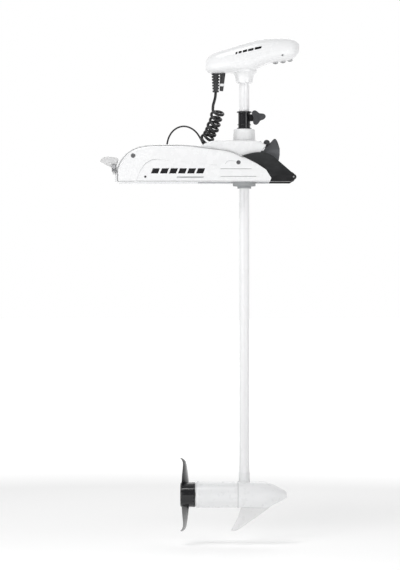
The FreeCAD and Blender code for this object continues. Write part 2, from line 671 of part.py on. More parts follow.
def strain_relief():
    """Tapered boot, notched on both sides of a straight spine."""
    sleeve = Part.makeCone(11.0, 14.5, 66, Vector(RELIEF_X, 0, RELIEF_BOTTOM))
    for index in range(6):
        z = RELIEF_BOTTOM + 6 + 10 * index
        core = rod_z(RELIEF_X, 0, 7.5 + 0.4 * index, z - 1, z + 6)
        spine = box(RELIEF_X - 4, RELIEF_X + 4, -20, 20, z - 1, z + 6)
        sleeve = sleeve.cut(rod_z(RELIEF_X, 0, 20, z, z + 4).cut(core).cut(spine))
    return sleeve.cut(head_form(0)).fuse(rod_z(RELIEF_X, 0, 9.0, 372, 388)).removeSplitter()


def accessory_connector():
    """Small connector that leans a little towards the stern."""
    body = Part.makeCone(6.2, 9.6, 64, Vector(CONNECTOR_X, 0, 318))
    body.rotate(Vector(CONNECTOR_X, 0, 380), Vector(0, 1, 0), CONNECTOR_LEAN)
    body = body.cut(head_form(0))
    return body.fuse(rod_z(CONNECTOR_X, 0, 6.0, 372, 388)).removeSplitter()


# ---- the lower unit ----
BEARING_R = 14.0
AXLE_R = 6.0
NOSE_CURVE = [(92, 39.5), (116, 28), (138, 16.5), (NOSE_TIP - 1, 9)]
SKEG_OUTLINE = [
    (-12, -1120), (-13, -1128), [(-26, -1166), (-46, -1205)], [(-36, -1207.5), (-24, -1205)],
    [(4, -1186), (56, -1150), (112, -1107)], (60, -1100)]


def turned_about_motor(steps):
    """Solid of revolution about the motor's axis; a step is (x, radius)."""
    lifted = []
    for step in steps:
        if isinstance(step, list):
            lifted.append([(x, MOTOR_Z + r) for x, r in step])
        else:
            lifted.append((step[0], MOTOR_Z + step[1]))
    return Part.Face(side_wire(lifted)).revolve(Vector(0, 0, MOTOR_Z), Vector(1, 0, 0), 360)


def nose_housing():
    shell = turned_about_motor([(SEAM_FRONT, 0), (SEAM_FRONT, MOTOR_R), (NOSE_START, MOTOR_R), NOSE_CURVE,
                                (NOSE_TIP, 6), (NOSE_TIP, 0)])
    hollow = turned_about_motor([(SEAM_FRONT - 1, 0), (SEAM_FRONT - 1, MOTOR_R - MOTOR_WALL),
                                 (62, MOTOR_R - MOTOR_WALL), (104, 28), (120, 0)])
    skeg = slab(SKEG_OUTLINE, -3.6, 3.6)
    skeg = skeg.makeFillet(2.4, edges_where(skeg, lambda c: abs(c.y) > 3.5 and c.z < MOTOR_Z - MOTOR_R))
    web = ring_x(MOTOR_R - MOTOR_WALL + 0.5, BEARING_R, -14, -6)
    shell = shell.fuse(skeg).cut(hollow).fuse(web)
    return shell.cut(rod_z(0, 0, 12.0, MOTOR_Z + 20, MOTOR_Z + 60))


def centre_housing():
    return ring_x(CAN_R, MOTOR_R - MOTOR_WALL, SEAM_REAR, SEAM_FRONT)


def rear_end_bell():
    bell = turned_about_motor([
        (SEAM_REAR, 0), (SEAM_REAR, MOTOR_R), [(-162, 45.6), (-166, 44), (MOTOR_REAR, 40)], (MOTOR_REAR, 0)])
    lip = ring_x(MOTOR_R - MOTOR_WALL, MOTOR_R - MOTOR_WALL - 3, SEAM_REAR - 1, SEAM_REAR + 6)
    bell = joined([bell, lip]).cut(rod_x(0, MOTOR_Z, BEARING_R, MOTOR_REAR + 3, SEAM_REAR + 2))
    bell = bell.cut(rod_x(0, MOTOR_Z, 10.0, MOTOR_REAR - 1, MOTOR_REAR + 4))
    return bell.cut(through_bolts())


def motor_bearings():
    rear = ring_x(BEARING_R, AXLE_R + RUN_GAP, MOTOR_REAR + 3, SEAM_REAR)
    front = ring_x(BEARING_R, AXLE_R + RUN_GAP, -14, -6)
    return Part.makeCompound([rear, front])


def shaft_seal():
    return ring_x(10.0, AXLE_R + RUN_GAP, MOTOR_REAR - 0.4, MOTOR_REAR + 3)


def field_magnets():
    arcs = ring_x(MOTOR_R - MOTOR_WALL, 36.0, -136, -40)
    gap = box(-150, -30, -11, 11, MOTOR_Z - 60, MOTOR_Z + 60)
    return arcs.cut(gap)


def brush_plate():
    plate = ring_x(39.0, 17.0, -151, -147.5)
    holders = [box(-147.5, -139, -5, 5, MOTOR_Z + z0, MOTOR_Z + z0 + 16) for z0 in (17.5, -33.5)]
    return joined([plate] + holders).cut(through_bolts())


def through_bolts():
    """Two long bolts that clamp the rear bell to the front web."""
    bolts = []
    for side in (-1, 1):
        z = MOTOR_Z + side * 39.6
        bolt = Part.makeCylinder(1.6, 149, Vector(MOTOR_REAR + 6, 0, z), Vector(1, 0, 0))
        bolts.append(bolt)
    return Part.makeCompound(bolts)


def armature():
    shaft = rod_x(0, MOTOR_Z, AXLE_R, -206, -5)
    core = rod_x(0, MOTOR_Z, 34.5, -132, -44)
    for index in range(14):
        angle = 360 * index / 14
        slot = box(-140, -40, -1.6, 1.6, MOTOR_Z + 24, MOTOR_Z + 36)
        slot.rotate(Vector(0, 0, MOTOR_Z), Vector(1, 0, 0), angle)
        core = core.cut(slot)
    commutator = rod_x(0, MOTOR_Z, 15.0, -153, -136)
    return joined([shaft, core, commutator]).cut(drive_pin())


# ---- the propeller ----
BLADE_PITCH = 150.0
# radius, chord, thickness, rake towards the stern, sweep
BLADE_STATIONS = (
    (36, 48, 6.5, 0, 0), (58, 60, 5.2, 0.5, 3), (82, 64, 4.2, 1.0, 6),
    (104, 56, 3.6, 2.0, 3), (117, 46, 3.0, 5.0, -4), (124, 36, 2.4, 10.0, -9), (PROP_R, 26, 2.0, 16, -14))
HUB_R = 43.0
BLADE_CENTRE_X = -204.5
WASHER_X = -206.5


def blade_section(radius, chord, thick, rake, sweep):
    """Lens-shaped section square to the blade's span, turned to the pitch angle."""
    angle = math.atan(BLADE_PITCH / (2 * math.pi * radius))
    along = Vector(math.sin(angle), math.cos(angle), 0)
    across = Vector(math.cos(angle), -math.sin(angle), 0)
    middle = Vector(BLADE_CENTRE_X - rake, sweep, radius)
    lead = middle + along * (chord / 2)
    trail = middle - along * (chord / 2)
    camber = across * (chord * 0.05)
    back = Part.Arc(trail, middle + camber + across * (thick / 2), lead).toShape()
    face = Part.Arc(lead, middle + camber - across * (thick / 2), trail).toShape()
    return Part.Wire([back, face])


def blade():
    form = Part.makeLoft([blade_section(*station) for station in BLADE_STATIONS], True, False)
    form.translate(Vector(0, 0, MOTOR_Z))
    return form


def propeller():
    """Hollow-ended hub with a toothed front rim and two thin blades with swept-back tips."""
    hub = turned_about_motor([
        (PROP_FRONT, 0), (PROP_FRONT, HUB_R - 1.5), (PROP_FRONT - 1.5, HUB_R), (PROP_REAR + 8, HUB_R),
        [(PROP_REAR + 2, 41.3), (PROP_REAR, 36)], (PROP_REAR, 0)])
    for index in range(20):
        tooth = Part.makeCylinder(2.6, 10, Vector(-178, 0, MOTOR_Z + HUB_R + 0.8), Vector(1, 0, 0))
        tooth.rotate(Vector(0, 0, MOTOR_Z), Vector(1, 0, 0), 18 * index + 9)
        hub = hub.cut(tooth)
    second = blade()
    second.rotate(Vector(0, 0, MOTOR_Z), Vector(1, 0, 0), 180)
    body = hub.fuse([blade(), second])
    body = body.cut(rod_x(0, MOTOR_Z, AXLE_R, -230, -160))
    body = body.cut(rod_x(0, MOTOR_Z, 16.0, -230, WASHER_X))
    return body.cut(rod_x(0, MOTOR_Z, 12.0, -175, -160)).cut(drive_pin())


def drive_pin():
    """Shear pin across the axle; it turns the hub."""
    return Part.makeCylinder(2.0, 34, Vector(-196, 0, MOTOR_Z - 17), Vector(0, 0, 1))


def prop_washer():
    return ring_x(13.0, AXLE_R, -208, WASHER_X)


def prop_nut():
    """Closed hexagon nut with a domed end."""
    points = []
    for index in range(7):
        angle = math.pi / 3 * index
        points.append(Vector(-208, 11.0 * math.cos(angle), MOTOR_Z + 11.0 * math.sin(angle)))
    nut = Part.Face(Part.makePolygon(points)).extrude(Vector(-9, 0, 0))
    dome = Part.makeSphere(12.0, Vector(-210.3, 0, MOTOR_Z)).common(rod_x(0, MOTOR_Z, 9.0, -222, -216.9))
    return nut.fuse(dome).cut(rod_x(0, MOTOR_Z, AXLE_R, -209, -205.9))


# ---- cords ----
LEAD_ROUTE = [(-99, 0, 314), (-100, 0, 297), (-102, -1, 281), (-103.5, -2.5, 266), (-104, -4.5, 252)]
COIL_ROUTE = [(-85, 0, 251), (-97, 0.5, 223), (-113, 2, 193), (-130, 3.5, 164), (-145, 4, 139)]
TAIL_ROUTE = [(-129, 4, 128), (-127, 5, 114), (-115, 6.5, 101), (-97, 7, 95), (-79, 6.5, 93.2),
              (-64, 6, 92.4), (-51, 6, 92)]
LOOP_ROUTE = [(-269, 64, 134), (-267, 64, 149), (-261, 63.5, 166), (-249, 62, 184), (-230, 59.5, 197),
              (-208, 56.5, 201), (-187, 53, 195), (-169, 49.5, 182), (-157, 47, 166), (-148.5, 45.5, 149),
              (-140, 44.9, 131.5), (-131.5, 44.9, 117), (-122.5, 45.3, 104), (-114.5, 46.1, 91),
              (-107.5, 46.6, 78), (-105, 46.7, 66)]


def rounded_path(points):
    """Straight runs joined by tangent arcs, each as large as its two runs allow."""
    spots = [Vector(*point) for point in points]
    edges = []
    radii = []
    here = spots[0]
    for before, corner, after in zip(spots, spots[1:], spots[2:]):
        inward = (before - corner).normalize()
        onward = (after - corner).normalize()
        turn = math.pi - inward.getAngle(onward)
        reach = 0.45 * min((before - corner).Length, (after - corner).Length)
        radius = reach / math.tan(turn / 2)
        start = corner + inward * reach
        stop = corner + onward * reach
        bisector = (inward + onward).normalize()
        middle = corner + bisector * (radius / math.cos(turn / 2) - radius)
        edges.append(Part.LineSegment(here, start).toShape())
        edges.append(Part.Arc(start, middle, stop).toShape())
        radii.append(radius)
        here = stop
    edges.append(Part.LineSegment(here, spots[-1]).toShape())
    return Part.Wire(edges), radii


def cord_tube(name, points, diameter):
    path, radii = rounded_path(points)
    heading = Vector(*points[1]) - Vector(*points[0])
    section = Part.Wire(Part.makeCircle(diameter / 2, Vector(*points[0]), heading))
    tube = path.makePipeShell([section], True, False)
    ideal = math.pi * diameter ** 2 / 4 * path.Length
    print(f"{name}: length {path.Length:.1f}, radii {min(radii):.0f} to {max(radii):.0f}, "
          f"volume {tube.Volume / ideal:.4f} of section times length")
    return tube


def coil_cord_tail():
    tube = cord_tube("coil_cord_tail", TAIL_ROUTE, CORD_D)
    return tube.cut(box(TAIL_EXIT[0] - SLIDE_GAP, 0, -30, 30, 60, 120))


def loop_cable():
    tube = cord_tube("loop_cable", LOOP_ROUTE, LOOP_D)
    return tube.cut(box(-115, -60, 0, 60, 50, LOOP_EXIT[2] + SLIDE_GAP))


# ---- every node ----
def build():
    cover = starboard_side_cover()
    port_cover = mirrored(cover).cut(rod_z(LOOP_FOOT[0], LOOP_FOOT[1], 4.8, 110, 140))
    cover = cover.cut(box(-445, -430, LATCH_Y - 5.5, LATCH_Y + 5.5, LATCH_Z - 7, LATCH_Z + 6))
    fairing = starboard_fairing()
    ramp = starboard_ramp()
    horn = starboard_horn()
    roller = starboard_roller()
    nodes = {
        "deck_plate": deck_plate(),
        "rails": rails(),
        "starboard_side_cover": cover,
        "port_side_cover": port_cover,
        "starboard_shoulder_fairing": fairing,
        "port_shoulder_fairing": mirrored(fairing),
        "starboard_bow_ramp": ramp,
        "port_bow_ramp": mirrored(ramp),
        "ramp_horns": Part.makeCompound([horn, mirrored(horn)]),
        "starboard_roller": roller,
        "port_roller": mirrored(roller),
        "mount_pins": Part.makeCompound([roller_pins(), pedal_pin()]),
        "shoulder_bumpers": shoulder_bumpers(),
        "cover_screws": cover_screws(),
        "rear_end_cap": rear_end_cap(),
        "release_pedal": release_pedal(),
        "latch_rod": latch_rod(),
        "latch_return_spring": latch_return_spring(),
        "loop_grommet": loop_grommet(),
        "carriage": carriage(),
        "steering_housing": steering_housing(),
        "housing_cover": housing_cover(),
        "tilt_trunnions": trunnions(),
        "lower_bearing": lower_bearing(),
        "upper_bushing": upper_bushing(),
        "steering_motor": steering_motor(),
        "steering_pinion": steering_pinion(),
        "output_gear": output_gear(),
        "drive_sleeve": drive_sleeve(),
        "cord_gland": cord_gland(),
        "shaft_tube": shaft_tube(),
        "shaft_wiring": shaft_wiring(),
        "shaft_socket": shaft_socket(),
        "depth_collar": depth_collar(),
        "collar_knob": collar_knob(),
        "head_lower_shell": head_lower_shell(),
        "head_upper_shell": head_upper_shell(),
        "head_boss": head_boss(),
        "control_board": control_board(),
        "status_lens": status_lens(),
        "strain_relief": strain_relief(),
        "accessory_connector": accessory_connector(),
        "nose_housing": nose_housing(),
        "centre_housing": centre_housing(),
        "rear_end_bell": rear_end_bell(),
        "field_magnets": field_magnets(),
        "brush_plate": brush_plate(),
        "through_bolts": through_bolts(),
        "motor_bearings": motor_bearings(),
        "shaft_seal": shaft_seal(),
        "armature": armature(),
        "propeller": propeller(),
        "prop_hardware": Part.makeCompound([drive_pin(), prop_washer(), prop_nut()]),
        "coil_cord_lead": cord_tube("coil_cord_lead", LEAD_ROUTE, CORD_D),
        "coil_cord_coil": cord_tube("coil_cord_coil", COIL_ROUTE, COIL_D),
        "coil_cord_tail": coil_cord_tail(),
        "loop_cable": loop_cable(),
    }
    for name, (x, z) in zip(("rear_button", "middle_button", "front_button"), BUTTON_SPOTS):
        nodes[name] = head_button(x, z)
    return nodes


os.makedirs("parts", exist_ok=True)
for node_name, node_shape in build().items():
    export(node_name, node_shape)
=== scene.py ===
import bpy
import bmesh
import json
import math
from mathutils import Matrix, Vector
from mathutils.bvhtree import BVHTree


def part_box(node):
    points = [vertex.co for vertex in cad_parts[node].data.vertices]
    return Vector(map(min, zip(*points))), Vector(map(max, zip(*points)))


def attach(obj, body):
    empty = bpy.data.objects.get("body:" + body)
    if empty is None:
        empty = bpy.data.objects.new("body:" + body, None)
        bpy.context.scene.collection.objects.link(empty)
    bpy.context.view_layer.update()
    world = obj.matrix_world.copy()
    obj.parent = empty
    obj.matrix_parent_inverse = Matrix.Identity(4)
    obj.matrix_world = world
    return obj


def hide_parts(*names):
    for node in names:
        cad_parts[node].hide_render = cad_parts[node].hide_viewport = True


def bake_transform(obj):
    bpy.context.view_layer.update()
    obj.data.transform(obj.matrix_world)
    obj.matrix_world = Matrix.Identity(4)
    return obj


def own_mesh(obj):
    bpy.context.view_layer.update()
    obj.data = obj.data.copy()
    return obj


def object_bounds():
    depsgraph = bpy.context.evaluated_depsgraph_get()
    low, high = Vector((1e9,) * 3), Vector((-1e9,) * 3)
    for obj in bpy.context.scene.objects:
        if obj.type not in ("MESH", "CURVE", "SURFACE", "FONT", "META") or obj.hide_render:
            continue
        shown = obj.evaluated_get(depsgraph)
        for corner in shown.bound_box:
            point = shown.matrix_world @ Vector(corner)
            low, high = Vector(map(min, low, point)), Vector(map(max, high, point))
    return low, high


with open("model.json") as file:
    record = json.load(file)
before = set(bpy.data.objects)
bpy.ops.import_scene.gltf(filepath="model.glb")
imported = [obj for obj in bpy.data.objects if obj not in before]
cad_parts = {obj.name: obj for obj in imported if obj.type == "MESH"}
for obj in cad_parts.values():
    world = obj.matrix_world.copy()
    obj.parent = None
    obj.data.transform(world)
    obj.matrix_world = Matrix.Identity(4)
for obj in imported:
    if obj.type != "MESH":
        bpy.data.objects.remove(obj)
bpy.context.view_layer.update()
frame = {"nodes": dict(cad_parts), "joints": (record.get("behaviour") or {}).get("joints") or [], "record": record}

# ---- places taken from the frame ----
MM = 0.001
JOINTS = {joint["name"]: joint for joint in frame["joints"]}
AXIS_X = JOINTS["steer"]["pos_m"][0]          # steering axis
MOTOR_Z = JOINTS["prop_spin"]["pos_m"][2]     # motor axis
SKEG_TOP_Z = MOTOR_Z - 45.0 * MM              # where the painted shade on the skeg begins
BRACKET_Z = 34.0 * MM                         # where the end cap turns charcoal
NODES = frame["nodes"]


def about_shaft(x, y, z):
    """A point given in millimetres from the steering axis, as a point of the frame."""
    return Vector((AXIS_X + x * MM, y * MM, z * MM))


# ---- node building ----
class Mat:
    """A node material: small helpers round one principled shader."""

    def __init__(self, name):
        self.mat = bpy.data.materials.new(name)
        self.mat.use_nodes = True
        self.tree = self.mat.node_tree
        self.shader = self.tree.nodes["Principled BSDF"]
        self.coord = self.tree.nodes.new("ShaderNodeTexCoord")

    def node(self, kind, **settings):
        """A new node with these properties set."""
        made = self.tree.nodes.new(kind)
        for key, value in settings.items():
            setattr(made, key, value)
        return made

    def link(self, source, target):
        self.tree.links.new(source, target)

    def scaled(self, scale):
        """Object coordinates stretched by three factors."""
        mapping = self.node("ShaderNodeMapping")
        mapping.inputs["Scale"].default_value = scale
        self.link(self.coord.outputs["Object"], mapping.inputs["Vector"])
        return mapping.outputs["Vector"]

    def noise(self, scale, detail=4.0, rough=0.5, stretch=(1, 1, 1)):
        made = self.node("ShaderNodeTexNoise")
        made.inputs["Scale"].default_value = scale
        made.inputs["Detail"].default_value = detail
        made.inputs["Roughness"].default_value = rough
        self.link(self.scaled(stretch), made.inputs["Vector"])
        return made.outputs["Fac"]

    def cells(self, scale, stretch=(1, 1, 1)):
        made = self.node("ShaderNodeTexVoronoi")
        made.inputs["Scale"].default_value = scale
        self.link(self.scaled(stretch), made.inputs["Vector"])
        return made.outputs["Distance"]

    def spread(self, fac, low, high, start=0.3, stop=0.7):
        """Maps a factor from start..stop to low..high."""
        made = self.node("ShaderNodeMapRange")
        made.inputs["From Min"].default_value = start
        made.inputs["From Max"].default_value = stop
        made.inputs["To Min"].default_value = low
        made.inputs["To Max"].default_value = high
        self.link(fac, made.inputs["Value"])
        return made.outputs["Result"]

    def mix(self, fac, first, second):
        made = self.node("ShaderNodeMix", data_type="RGBA")
        self.link(fac, made.inputs["Factor"])
        for socket, colour in ((made.inputs[6], first), (made.inputs[7], second)):
            if isinstance(colour, tuple):
                socket.default_value = (*colour, 1.0)
            else:
                self.link(colour, socket)
        return made.outputs[2]

    def edge_wear(self):
        """About 1 on sharp convex edges and 0 on flats."""
        geometry = self.node("ShaderNodeNewGeometry")
        return self.spread(geometry.outputs["Pointiness"], 0.0, 1.0, 0.51, 0.56)

    def height(self):
        """Height in metres above the frame's origin."""
        split = self.node("ShaderNodeSeparateXYZ")
        self.link(self.coord.outputs["Object"], split.inputs["Vector"])
        return split.outputs["Z"]

    def bump(self, height, strength, distance):
        made = self.node("ShaderNodeBump")
        made.inputs["Strength"].default_value = strength
        made.inputs["Distance"].default_value = distance
        self.link(height, made.inputs["Height"])
        self.link(made.outputs["Normal"], self.shader.inputs["Normal"])

    def finish(self, colour, rough, metallic=0.0, coat=0.0, specular=0.5, coat_rough=0.1):
        shader = self.shader
        self.link(colour, shader.inputs["Base Color"])
        if isinstance(rough, float):
            shader.inputs["Roughness"].default_value = rough
        else:
            self.link(rough, shader.inputs["Roughness"])
        shader.inputs["Metallic"].default_value = metallic
        shader.inputs["Coat Weight"].default_value = coat
        shader.inputs["Coat Roughness"].default_value = coat_rough
        shader.inputs["Specular IOR Level"].default_value = specular
        return self.mat


# ---- materials ----
def gloss_white(name, tint=(0.765, 0.768, 0.773), shade=(0.73, 0.735, 0.742), coat=0.12):
    """Injection-moulded white: faint flow clouding, fine orange peel and dulled patches."""
    m = Mat(name)
    clouds = m.noise(9.0, 3.0, 0.5)
    colour = m.mix(m.spread(clouds, 0.0, 0.5), tint, shade)
    handled = m.noise(38.0, 5.0, 0.6)
    peel = m.noise(900.0, 2.0, 0.5)
    m.bump(peel, 0.05, 0.0004)
    return m.finish(colour, m.spread(handled, 0.20, 0.33), coat=coat, coat_rough=0.06)


def white_paint():
    """Powder coat over cast metal, with a slightly pebbled skin."""
    m = Mat("white_powder_coat")
    clouds = m.noise(14.0, 4.0, 0.55)
    colour = m.mix(m.spread(clouds, 0.0, 0.6), (0.80, 0.803, 0.808), (0.75, 0.757, 0.765))
    m.bump(m.cells(850.0), 0.05, 0.0003)
    return m.finish(colour, m.spread(m.noise(60.0), 0.24, 0.38), coat=0.25, coat_rough=0.1)


def nose_coat_with_painted_shade():
    """The same powder coat, with painted shade that greys the skeg under the housing."""
    m = Mat("white_powder_coat_nose_painted_shade")
    clouds = m.mix(m.spread(m.noise(14.0, 4.0, 0.55), 0.0, 0.6), (0.80, 0.803, 0.808), (0.75, 0.757, 0.765))
    # painted shade: the skeg below the housing is made greyer
    below = m.spread(m.height(), 1.0, 0.0, SKEG_TOP_Z - 4.0 * MM, SKEG_TOP_Z + 3.0 * MM)
    colour = m.mix(below, clouds, (0.76, 0.76, 0.762))
    m.bump(m.cells(850.0), 0.05, 0.0003)
    return m.finish(colour, m.spread(m.noise(60.0), 0.24, 0.38), coat=0.15, coat_rough=0.1)


def end_cap_plastic():
    """White moulding below, charcoal on the pedal's bracket above."""
    m = Mat("end_cap_two_shot")
    above = m.spread(m.height(), 0.0, 1.0, BRACKET_Z - 0.5 * MM, BRACKET_Z + 0.5 * MM)
    dusty = m.spread(m.noise(22.0, 6.0, 0.65), 0.0, 0.35)
    white = m.mix(dusty, (0.80, 0.803, 0.808), (0.74, 0.745, 0.752))
    grey = m.mix(dusty, (0.16, 0.162, 0.166), (0.24, 0.243, 0.25))
    m.bump(m.cells(1200.0), 0.1, 0.0003)
    return m.finish(m.mix(above, white, grey), m.spread(m.noise(40.0), 0.3, 0.45))


def composite_shaft():
    """White pultruded tube: fine streaks along its length."""
    m = Mat("white_composite_shaft")
    streaks = m.noise(260.0, 3.0, 0.5, (1, 1, 0.02))
    colour = m.mix(m.spread(streaks, 0.0, 0.5), (0.80, 0.80, 0.805), (0.73, 0.735, 0.745))
    m.bump(streaks, 0.06, 0.0003)
    return m.finish(colour, m.spread(m.noise(30.0, 4.0, 0.5, (1, 1, 0.2)), 0.22, 0.36), coat=0.2)


def textured_plastic(name, dark, light):
    """Spark-eroded moulding texture, a little lighter on its worn edges."""
    m = Mat(name)
    grains = m.cells(1400.0)
    worn = m.mix(m.edge_wear(), dark, light)
    dusty = m.noise(22.0, 6.0, 0.65)
    colour = m.mix(m.spread(dusty, 0.0, 0.35), worn, light)
    m.bump(grains, 0.22, 0.0003)
    return m.finish(colour, m.spread(dusty, 0.42, 0.62), specular=0.45)


def gloss_black(name):
    """Glossy black nylon with faint flow marks and hairline scuffs."""
    m = Mat(name)
    flow = m.noise(16.0, 6.0, 0.6, (1, 2.5, 0.6))
    colour = m.mix(m.spread(flow, 0.0, 0.7), (0.005, 0.005, 0.006), (0.014, 0.014, 0.016))
    scuffs = m.noise(420.0, 2.0, 0.5, (0.15, 1, 1))
    m.bump(scuffs, 0.04, 0.0003)
    rough = m.spread(m.noise(45.0, 5.0, 0.6), 0.10, 0.22)
    return m.finish(colour, rough, coat=0.25, coat_rough=0.05, specular=0.4)


def satin_black(name):
    """Semi-gloss charcoal moulding with random paler scuffs, and a painted sheen that lightens it towards its top.
    """
    m = Mat(name)
    # painted sheen: the moulding is made lighter the higher it stands
    upper = m.spread(m.height(), 0.0, 1.0, 20.0 * MM, 95.0 * MM)
    base = m.mix(upper, (0.004, 0.004, 0.005), (0.018, 0.019, 0.020))
    scuffed = m.spread(m.noise(70.0, 6.0, 0.7, (0.4, 1, 1)), 0.0, 0.5, 0.45, 0.75)
    colour = m.mix(scuffed, base, (0.034, 0.035, 0.037))
    m.bump(m.cells(1300.0), 0.12, 0.0003)
    return m.finish(colour, m.spread(m.noise(45.0, 5.0, 0.6), 0.26, 0.40), specular=0.35)


def rubber(name, dark=(0.012, 0.012, 0.013), light=(0.05, 0.05, 0.052)):
    """Soft rubber with a dusty bloom."""
    m = Mat(name)
    bloom = m.noise(48.0, 6.0, 0.7)
    colour = m.mix(m.spread(bloom, 0.0, 0.7), dark, light)
    m.bump(m.noise(1100.0, 2.0, 0.6), 0.15, 0.0003)
    return m.finish(colour, m.spread(bloom, 0.45, 0.62), specular=0.4)


def cord_rubber():
    """Smooth polyurethane jacket, with a slight lengthwise draw grain."""
    m = Mat("cord_jacket")
    draw = m.noise(90.0, 4.0, 0.6)
    colour = m.mix(m.spread(draw, 0.0, 0.8), (0.004, 0.004, 0.005), (0.014, 0.014, 0.015))
    m.bump(m.noise(700.0, 2.0, 0.6), 0.08, 0.0003)
    return m.finish(colour, m.spread(draw, 0.22, 0.36), specular=0.5)


def brushed(name, bright, dull, along=(1, 1, 0.05)):
    """Metal with fine lines along one direction."""
    m = Mat(name)
    lines = m.noise(700.0, 3.0, 0.6, along)
    colour = m.mix(m.spread(lines, 0.0, 1.0), bright, dull)
    m.bump(lines, 0.08, 0.0002)
    return m.finish(colour, m.spread(m.noise(90.0, 4.0, 0.5, along), 0.22, 0.38), metallic=1.0)


def cast(name, bright, dull):
    """Bead-blasted casting."""
    m = Mat(name)
    grain = m.noise(520.0, 5.0, 0.7)
    colour = m.mix(m.spread(m.noise(26.0), 0.0, 0.8), bright, dull)
    m.bump(grain, 0.3, 0.0004)
    return m.finish(colour, m.spread(grain, 0.42, 0.6), metallic=0.9)


def circuit_board():
    """Green solder mask, darker over its tracks."""
    m = Mat("circuit_board")
    tracks = m.cells(240.0, (1, 1, 0.1))
    colour = m.mix(m.spread(tracks, 0.0, 1.0, 0.3, 0.36), (0.02, 0.12, 0.045), (0.05, 0.28, 0.11))
    m.bump(tracks, 0.2, 0.0002)
    return m.finish(colour, m.spread(m.noise(80.0), 0.3, 0.45))


def smoked_lens():
    """Unlit status light behind a smoked window."""
    m = Mat("status_light_lens")
    colour = m.mix(m.spread(m.noise(300.0), 0.0, 1.0), (0.07, 0.075, 0.08), (0.13, 0.135, 0.14))
    return m.finish(colour, m.spread(m.noise(200.0), 0.05, 0.12), coat=0.8, coat_rough=0.03)


MATERIALS = {
    "white_cover": gloss_white("white_moulding"),
    "white_head": gloss_white("white_head_moulding", coat=0.2),
    "white_shaft": composite_shaft(),
    "white_paint": white_paint(),
    "light_grey_plastic": textured_plastic("light_grey_plastic", (0.66, 0.665, 0.67), (0.74, 0.745, 0.75)),
    "mid_grey_plastic": textured_plastic("mid_grey_plastic", (0.26, 0.27, 0.275), (0.36, 0.37, 0.375)),
    "dark_grey_plastic": textured_plastic("charcoal_plastic", (0.022, 0.023, 0.025), (0.085, 0.088, 0.094)),
    "black_gloss": gloss_black("gloss_black_nylon"),
    "black_rubber": rubber("black_rubber"),
    "cord_jacket": cord_rubber(),
    "button_grey": rubber("keypad_rubber", (0.22, 0.222, 0.226), (0.32, 0.323, 0.33)),
    "rail_metal": brushed("extruded_aluminium", (0.66, 0.67, 0.69), (0.50, 0.51, 0.53), (0.04, 1, 1)),
    "cast_metal": cast("cast_aluminium", (0.50, 0.51, 0.53), (0.36, 0.37, 0.39)),
    "steel": brushed("stainless_steel", (0.62, 0.62, 0.63), (0.42, 0.42, 0.44)),
    "brass_gear": brushed("machined_brass", (0.72, 0.55, 0.24), (0.55, 0.40, 0.16), (1, 1, 0.2)),
    "bronze_bush": cast("sintered_bronze", (0.50, 0.36, 0.18), (0.36, 0.25, 0.12)),
    "magnet": cast("ferrite_magnet", (0.10, 0.10, 0.11), (0.05, 0.05, 0.055)),
    "board": circuit_board(),
    "copper": brushed("copper_windings", (0.66, 0.33, 0.17), (0.42, 0.19, 0.09), (0.1, 1, 1)),
    "lens": smoked_lens(),
}
NODE_MATERIALS = {           # nodes whose finish differs from the rest of their slot
    "nose_housing": nose_coat_with_painted_shade(),
    "rear_end_cap": end_cap_plastic(),
    # painted shade: the white pedal is greyed to stand for its shaded underside
    "release_pedal": gloss_white("pedal_painted_shade", (0.60, 0.60, 0.602), (0.42, 0.422, 0.426)),
    "cover_screws": brushed("blackened_screws", (0.13, 0.13, 0.135), (0.22, 0.22, 0.225)),
    "starboard_bow_ramp": satin_black("moulded_ramp_starboard"),
    "port_bow_ramp": satin_black("moulded_ramp_port"),
}
SLOT_OF = {part["node"]: part["material_slot"] for part in frame["record"]["subparts"]}


def paint_frame():
    """Every node of the frame gets its own material or that of its slot."""
    for name, obj in NODES.items():
        material = NODE_MATERIALS.get(name, MATERIALS[SLOT_OF[name]])
        if not obj.material_slots:
            obj.data.materials.append(material)
        for holder in obj.material_slots:
            holder.material = material


# ---- mesh helpers ----
SMOOTH_ANGLE = math.radians(40)


def new_object(name, bm, body, slot_name):
    """A finished mesh in a slot's material, which rides on a body unless body is None."""
    bmesh.ops.recalc_face_normals(bm, faces=bm.faces)
    mesh = bpy.data.meshes.new(name)
    bm.to_mesh(mesh)
    bm.free()
    obj = bpy.data.objects.new(name, mesh)
    bpy.context.scene.collection.objects.link(obj)
    for face in mesh.polygons:
        face.use_smooth = True
    mesh.set_sharp_from_angle(angle=SMOOTH_ANGLE)
    mesh.materials.append(MATERIALS[slot_name])
    if body:
        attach(obj, body)
    return obj


def frame_axes(direction):
    """Two directions square to the given one."""
    along = direction.normalized()
    helper = Vector((0, 0, 1)) if abs(along.z) < 0.9 else Vector((1, 0, 0))
    first = along.cross(helper).normalized()
    return first, along.cross(first).normalized()


def lathe(name, centre, direction, profile, body, slot_name, segments=48, close=False):
    """Turns (height, radius) pairs in millimetres about an axis; a radius of 0 closes to a point."""
    bm = bmesh.new()
    along = direction.normalized()
    first, second = frame_axes(direction)
    rows = []
    for height, radius in profile:
        spot = centre + along * (height * MM)
        if radius == 0:
            rows.append([bm.verts.new(spot)])
            continue
        row = []
        for index in range(segments):
            angle = 2 * math.pi * index / segments
            turned = first * math.cos(angle) + second * math.sin(angle)
            row.append(bm.verts.new(spot + turned * (radius * MM)))
        rows.append(row)
    pairs = list(zip(rows, rows[1:]))
    if close:
        pairs.append((rows[-1], rows[0]))
    for low, high in pairs:
        for index in range(segments):
            after = (index + 1) % segments
            if len(low) == 1:
                bm.faces.new((low[0], high[index], high[after]))
            elif len(high) == 1:
                bm.faces.new((low[index], low[after], high[0]))
            else:
                bm.faces.new((low[index], low[after], high[after], high[index]))
    return new_object(name, bm, body, slot_name)


